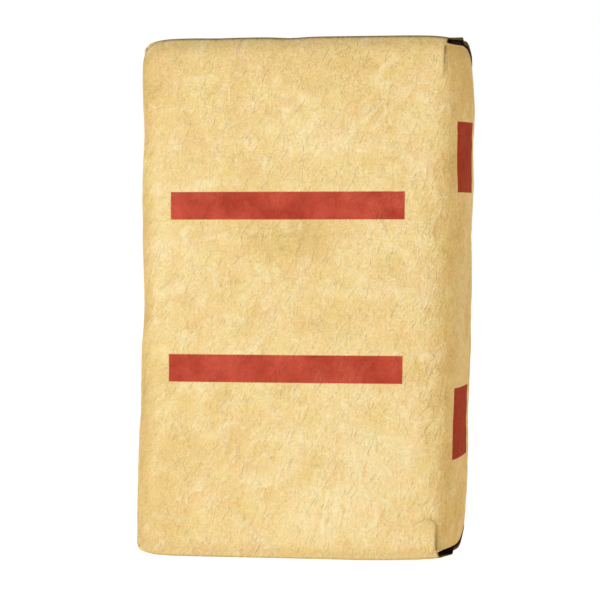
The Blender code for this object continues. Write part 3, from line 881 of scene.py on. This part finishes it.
def make_kraft():
    """Kraft by its patterns, the ink over it, the painted shade of the mouths, strips, fold, ends and lap over both,
    and the bump.
    """
    material, tree, shader = new_material("sack_kraft_paper")
    patterns = {name: add_node("Attribute", tree=tree, attribute_name=name).outputs["Fac"]
                for name in ("creasing", "darkness")}
    paper = add_node("UVMap", tree=tree, uv_map="paper").outputs["UV"]
    wander = add_node("TexNoise", (("Vector", paper), ("Scale", STRAY_SCALE), ("Detail", 2.0))).outputs["Color"]
    wander = add_node("VectorMath", ((0, wander), (1, (2 * CREASE_STRAY, 2 * CREASE_STRAY, 0)),
                                     (2, (-CREASE_STRAY, -CREASE_STRAY, 0))), operation="MULTIPLY_ADD").outputs[0]
    strayed = add_node("VectorMath", ((0, paper), (1, wander)), operation="ADD").outputs[0]
    leaning = add_node("Mapping", (("Vector", strayed), ("Rotation", (0, 0, CREASE_TILT)),
                                   ("Scale", CREASE_STRETCH)), vector_type="TEXTURE").outputs[0]
    along_machine = add_node("Mapping", (("Vector", paper), ("Scale", FIBRE_STRETCH))).outputs[0]
    places = {"pale": strayed, "fibre": along_machine}
    patterns.update({name: noise(places.get(name, paper), *values) for name, values in PATTERNS.items()})
    patterns["lines"] = crease_lines(paper, leaning)
    patterns["relief"] = relief = maths("SUBTRACT", weighted(patterns, RELIEF_WEIGHTS), PLAIN_RELIEF)
    along, height = add_node("SeparateXYZ", ((0, paper),)).outputs[:2]
    wavering = add_node("SeparateXYZ", ((0, strayed),)).outputs
    patterns["seam"] = wavering[0]
    thumb_edge = thumb_distance(wavering[0], wavering[1])
    # A line of painted shade just outside the bulge, growing as it rises
    dust_and_shade = ramp(distance_from(thumb_edge, THUMB_SHADE_OUT), *THUMB_SHADE)
    patterns["thumb shade"] = maths("MULTIPLY", dust_and_shade, ramp(height, *THUMB_SHADE_FROM))
    patterns["thumb"] = ramp(thumb_edge, THUMB_BUMP_EDGE, -THUMB_BUMP_EDGE)
    patterns["side bars"] = bar_distance(along, height, SIDE_BARS, SIDE_BARS_ASKEW)
    outside = maths("MINIMUM", bar_distance(along, height, FRONT_BARS), patterns["side bars"])
    printed = maths("MULTIPLY", ramp(outside, INK_EDGE, -INK_EDGE), ramp(relief, *INK_WEAR))
    tint = laid_over(KRAFT_MID, patterns, KRAFT_TINTS)
    tint = blend_colours(printed, tint, laid_over(RED_INK, patterns, INK_TINTS))
    bump_height = weighted(patterns, BUMP_WEIGHTS)
    # Facets are cones about random places, which meet in sharp ridges
    for size, rise in FACETS:
        cone = add_node("TexVoronoi", (("Vector", leaning), ("Scale", 1 / size))).outputs["Distance"]
        share = maths("MULTIPLY", ramp(noise(paper, FACET_PATCH * size, 2.0), *FACETS_SHOW), rise)
        bump_height = maths("ADD", bump_height, maths("MULTIPLY", cone, share))
    bump = add_node("Bump", (("Height", bump_height), ("Strength", 1.0), ("Distance", BUMP_DISTANCE))).outputs[0]
    feed(shader, (("Base Color", laid_over(tint, patterns, SHADE_TINTS)), ("Normal", bump), ("IOR", KRAFT_IOR),
                  ("Roughness", KRAFT_ROUGHNESS), ("Specular IOR Level", KRAFT_SPECULAR)))
    return material


sack = piece("sack_paper", sack_mesh, make_kraft())
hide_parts("sack")


# Valve sleeve
# The real piece is a flat tube of brown kraft paper, pasted into the top right pocket. The sack is filled through
# it, and the cement presses it shut. It is one ply thick, and a little open at the mouth.
SLEEVE_HALF_WIDTH = 0.040
SLEEVE_FROM, SLEEVE_TO = 0.0045, 0.095
SLEEVE_HALF_OPEN, SLEEVE_HALF_SHUT = 0.0017, 0.0006
SLEEVE_PLY = 0.0004
# Both browns are darkened, partly by dust and partly as painted shade from the pocket
SLEEVE_SHADED_BROWN, SLEEVE_SHADED_DUST, SLEEVE_ROUGHNESS = "#4A2E15", "#5E4526", 0.8
SLEEVE_DUST_SIZE, SLEEVE_CREASE_SIZE = 0.012, 0.004
SLEEVE_DUST_RANGE = (0.40, 0.65)
SLEEVE_POINTS, SLEEVE_ROWS = 97, 24


def sleeve_wall(inset, ply):
    """A closed outline across the pocket at each inset: an ellipse about the line midway between the tuck and the
    flap, which flattens inwards. The ply makes it smaller."""
    turn = np.linspace(0, 2 * np.pi, SLEEVE_POINTS)[None, :]
    inwards = ((inset - SLEEVE_FROM) / (SLEEVE_TO - SLEEVE_FROM))[:, None]
    half_open = SLEEVE_HALF_SHUT + (SLEEVE_HALF_OPEN - SLEEVE_HALF_SHUT) * (1 - inwards) ** 2 - ply
    q = (SLEEVE_HALF_WIDTH - ply) * np.cos(turn) + 0 * inwards
    form = POCKETS["top", "right"]
    depth = (outline(form["tuck"], q) + outline(form["inner"], q)) / 2 - half_open * np.sin(turn)
    s = END_WIDTH / 2 + HALF_DEPTH + q
    x, y = wall_point(s, HEIGHT - depth)
    along = along_wall(s, HEIGHT)
    return np.stack([x - along[1] * inset[:, None], y + along[0] * inset[:, None], HEIGHT - depth], axis=-1)


def make_sleeve_paper():
    """Brown kraft, darkened partly by dust and partly as painted shade from the pocket, with paler dust in clouds, and
    fine creases.
    """
    material, tree, shader = new_material("valve_sleeve_kraft")
    paper = add_node("UVMap", tree=tree, uv_map="paper").outputs["UV"]
    dust_and_shade = ramp(noise(paper, SLEEVE_DUST_SIZE, 3.0, 0.6), *SLEEVE_DUST_RANGE)
    bump = add_node("Bump", (("Height", noise(paper, SLEEVE_CREASE_SIZE)), ("Strength", 0.6), ("Distance", 0.001)))
    feed(shader, (("Base Color", blend_colours(dust_and_shade, SLEEVE_SHADED_BROWN, SLEEVE_SHADED_DUST)), ("Normal", bump.outputs[0]),
                  ("IOR", KRAFT_IOR), ("Roughness", SLEEVE_ROUGHNESS)))
    return material


sleeve_insets = np.linspace(SLEEVE_FROM, SLEEVE_TO, SLEEVE_ROWS)
sleeve_outside, sleeve_inside = sleeve_wall(sleeve_insets, 0.0), sleeve_wall(sleeve_insets, SLEEVE_PLY)
sleeve_rows = np.concatenate([sleeve_outside, sleeve_inside[::-1], sleeve_outside[:1]])
sleeve_run = np.concatenate([sleeve_insets, sleeve_insets[::-1], sleeve_insets[:1]])[:, None]
sleeve_uv = np.stack([sleeve_rows[..., 1], sleeve_run + 0 * sleeve_rows[..., 0]], axis=-1)
no_dark = 0 * sleeve_rows[..., 0]
sleeve = piece("valve_sleeve_paper", joined_grids("valve_sleeve_paper", [(sleeve_rows, sleeve_uv, no_dark, no_dark)]),
               make_sleeve_paper())
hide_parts("valve_sleeve")


# Floor and light
# A wide matt floor, which glows so that it shows as white as the surround, and one broad, soft, bluish lamp, low at
# the left of the camera.
FLOOR_RADIUS = 30.0
FLOOR_GREY = "#909090"
FLOOR_GLOW = 0.85
floor_mesh = bpy.data.meshes.new("floor")
build = bmesh.new()
bmesh.ops.create_circle(build, cap_ends=True, segments=96, radius=FLOOR_RADIUS)
build.to_mesh(floor_mesh)
build.free()
floor = new_object("floor", floor_mesh)
floor_finish, _, floor_shader = new_material("matt_white_floor")
feed(floor_shader, (("Base Color", FLOOR_GREY), ("Roughness", 0.9), ("IOR", 1.45), ("Emission Color", "#FFFFFF"),
                    ("Emission Strength", FLOOR_GLOW)))
floor_mesh.materials.append(floor_finish)

# The surround is white behind the bag, and dimmer overhead and in front of it
DIM_OVERHEAD, DIM_IN_FRONT = 0.55, 0.72
world = bpy.data.worlds.new("white_surround")
world.use_nodes = True
surround = world.node_tree
direction = add_node("TexCoord", tree=surround).outputs["Generated"]
direction = add_node("SeparateXYZ", ((0, direction),)).outputs
brightness = maths("MULTIPLY", ramp(direction["Z"], 0.10, 0.90, 1.0, DIM_OVERHEAD),
                   ramp(direction["Y"], 0.50, -0.50, 1.0, DIM_IN_FRONT))
feed(surround.nodes["Background"], (("Color", "#FFFFFF"), ("Strength", brightness)))
bpy.context.scene.world = world

LAMP_PLACE = (-1.4, -3.6, 0.6)
LAMP_AIM = (0, 0, 0.32)
LAMP_SIZE, LAMP_POWER = 1.4, 124
LAMP_COLOUR = (0.48, 0.64, 1.0)
lamp_data = bpy.data.lights.new("soft_lamp", "AREA")
lamp_data.shape = "DISK"
lamp_data.size = LAMP_SIZE
lamp_data.energy = LAMP_POWER
lamp_data.color = LAMP_COLOUR
stand(new_object("soft_lamp", lamp_data), LAMP_PLACE, LAMP_AIM)
bpy.context.scene.view_settings.view_transform = "Standard"
